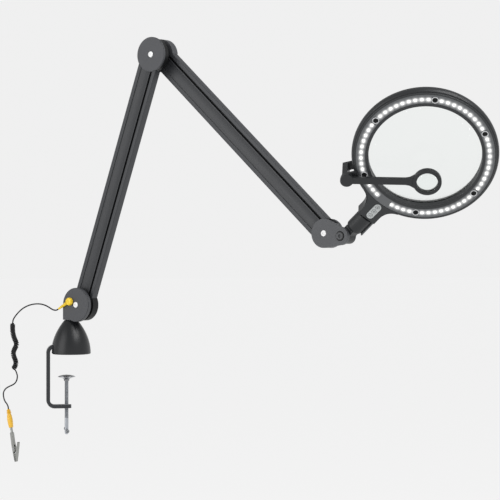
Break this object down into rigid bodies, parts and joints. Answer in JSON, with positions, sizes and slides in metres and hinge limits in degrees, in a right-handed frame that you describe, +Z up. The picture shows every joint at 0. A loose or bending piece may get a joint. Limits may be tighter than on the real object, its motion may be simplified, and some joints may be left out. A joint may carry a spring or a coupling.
{
  "type": "magnifying lamp",
  "caption": "Bench magnifying lamp: ring-lit lens head with a small swing-out lens on a jointed two-section arm, table clamp and a curly ground cord with clip.",
  "frame": {"origin": "centre of the base underside on the swivel axis, where the base rests on the table top", "axes": "+Z up along the swivel axis, +X from the table edge in over the table, +Y away from the front; the arms' plane is turned 45 degrees clockwise about +Z from +X"},
  "size_m": [0.6725, 0.5633, 0.6641],
  "materials": {
    "arm_coat": "fine anthracite powder coat, satin",
    "cover_coat": "dark anthracite, satin",
    "clamp_coat": "dark grey coated flat steel",
    "black_plastic": "moulded black",
    "head_plastic": "moulded anthracite, satin",
    "white_plastic": "moulded white",
    "zinc_steel": "zinc plated",
    "chrome_steel": "polished plating",
    "spring_steel": "drawn wire",
    "tab_steel": "grey coated strip",
    "yellow_plastic": "moulded yellow",
    "grip_vinyl": "dipped vinyl, amber yellow",
    "cord_jacket": "flexible jacket",
    "rubber_black": "matt",
    "lens_glass": "polished crown glass",
    "light_lens": "cool white light, lit",
    "band_plastic": "translucent grey cover",
    "circuit_board": "solder mask",
    "key_silver": "silver grey membrane"
  },
  "bodies": {
    "clamp": {"clamp_bar": "clamp_coat", "base_cover": "cover_coat", "base_core": "black_plastic", "base_pad": "rubber_black", "post_bush": "white_plastic", "base_screws": "zinc_steel", "clamp_bush": "clamp_coat"},
    "pressure_plate": {"pressure_plate": "chrome_steel"},
    "clamp_screw": {"clamp_screw": "zinc_steel"},
    "tommy_bar": {"tommy_bar": "zinc_steel"},
    "swivel": {"swivel_post": "zinc_steel", "shoulder_bracket": "arm_coat", "shoulder_cap": "white_plastic", "shoulder_bolt": "zinc_steel", "shoulder_nut": "zinc_steel", "esd_snap": "yellow_plastic", "cord_boot": "yellow_plastic", "cord_lead": "cord_jacket", "cord_coil": "cord_jacket", "cord_tail": "cord_jacket", "clip_grip": "grip_vinyl", "croc_body": "chrome_steel", "croc_pin": "zinc_steel"},
    "croc_jaw": {"croc_jaw": "chrome_steel"},
    "lower_arm": {"lower_foot": "black_plastic", "lower_profile": "arm_coat", "lower_spring": "spring_steel", "elbow_disc": "arm_coat", "elbow_core": "black_plastic", "elbow_bolt": "zinc_steel", "elbow_cap": "white_plastic", "elbow_nut": "zinc_steel", "cable_gland": "black_plastic"},
    "upper_arm": {"upper_root": "black_plastic", "upper_profile": "arm_coat", "upper_spring": "spring_steel", "upper_tip": "black_plastic"},
    "wrist": {"wrist_bracket": "arm_coat", "wrist_pins": "zinc_steel", "wrist_cap": "white_plastic"},
    "tilt_knob": {"tilt_knob": "arm_coat"},
    "neck": {"tilt_barrel": "head_plastic"},
    "head": {"neck_pin": "zinc_steel", "neck_tab": "tab_steel", "head_shell": "head_plastic", "head_bezel": "head_plastic", "circuit_boards": "circuit_board", "leds": "light_lens", "led_band": "band_plastic", "ring_screws": "black_plastic", "main_lens": "lens_glass", "lens_gasket": "rubber_black", "keypad_plate": "key_silver", "lens_clip": "head_plastic", "swing_pin": "zinc_steel"},
    "power_button": {"power_button": "key_silver"},
    "dim_button": {"dim_button": "key_silver"},
    "mode_button": {"mode_button": "key_silver"},
    "second_lens": {"swing_arm": "head_plastic", "small_lens": "lens_glass"}
  },
  "joints": [
    {"name": "clamp_travel", "type": "slide", "parent": "clamp", "child": "pressure_plate", "axis": [0, 0, 1], "range_m": [-0.037, 0.029]},
    {"name": "clamp_turn", "type": "hinge", "parent": "pressure_plate", "child": "clamp_screw", "pos_m": [-0.007, 0, -0.08], "axis": [0, 0, 1], "range_deg": [-6660, 5220]},
    {"name": "tommy_slide", "type": "slide", "parent": "clamp_screw", "child": "tommy_bar", "axis": [0, 1, 0], "range_m": [-0.0177, 0.0177]},
    {"name": "base_swivel", "type": "hinge", "parent": "clamp", "child": "swivel", "pos_m": [0, 0, 0.04], "axis": [0, 0, 1], "range_deg": [-170, 170]},
    {"name": "shoulder", "type": "hinge", "parent": "swivel", "child": "lower_arm", "pos_m": [0.01414, -0.01414, 0.078], "axis": [0.7071, 0.7071, 0], "range_deg": [-40, 50]},
    {"name": "elbow", "type": "hinge", "parent": "lower_arm", "child": "upper_arm", "pos_m": [0.11353, -0.11353, 0.46209], "axis": [0.7071, 0.7071, 0], "range_deg": [-75, 28]},
    {"name": "wrist_pitch", "type": "hinge", "parent": "upper_arm", "child": "wrist", "pos_m": [0.32898, -0.32898, 0.18775], "axis": [0.7071, 0.7071, 0], "range_deg": [-30, 45]},
    {"name": "tilt_knob_turn", "type": "hinge", "parent": "wrist", "child": "tilt_knob", "pos_m": [0.37409, -0.32375, 0.18375], "axis": [0.7071, 0.7071, 0], "continuous": true},
    {"name": "head_tilt", "type": "hinge", "parent": "wrist", "child": "neck", "pos_m": [0.37409, -0.32375, 0.18375], "axis": [0.7071, 0.7071, 0], "range_deg": [-30, 80]},
    {"name": "head_twist", "type": "hinge", "parent": "neck", "child": "head", "pos_m": [0.37409, -0.32375, 0.18375], "axis": [0.5353, -0.5353, 0.6534], "range_deg": [-130, 130]},
    {"name": "power_press", "type": "slide", "parent": "head", "child": "power_button", "axis": [0.1992, 0.8317, 0.5182], "range_m": [0, 0.0005], "stiffness_N_per_m": 1200},
    {"name": "dim_press", "type": "slide", "parent": "head", "child": "dim_button", "axis": [0.1992, 0.8317, 0.5182], "range_m": [0, 0.0005], "stiffness_N_per_m": 1200},
    {"name": "mode_press", "type": "slide", "parent": "head", "child": "mode_button", "axis": [0.1992, 0.8317, 0.5182], "range_m": [0, 0.0005], "stiffness_N_per_m": 1200},
    {"name": "lens_swing", "type": "hinge", "parent": "head", "child": "second_lens", "pos_m": [0.36088, -0.39254, 0.26259], "axis": [0.1992, 0.8317, 0.5182], "range_deg": [-90, 60]},
    {"name": "croc_open", "type": "hinge", "parent": "swivel", "child": "croc_jaw", "pos_m": [-0.0865, 0.06528, -0.15452], "axis": [0.7071, 0.7071, 0], "range_deg": [-20, 0], "stiffness_Nm_per_rad": 0.08, "springref_deg": 22.92}
  ],
  "couplings": [
    {"joint": "clamp_travel", "follows": "clamp_turn", "m_per_rad": 0.00031831}
  ]
}
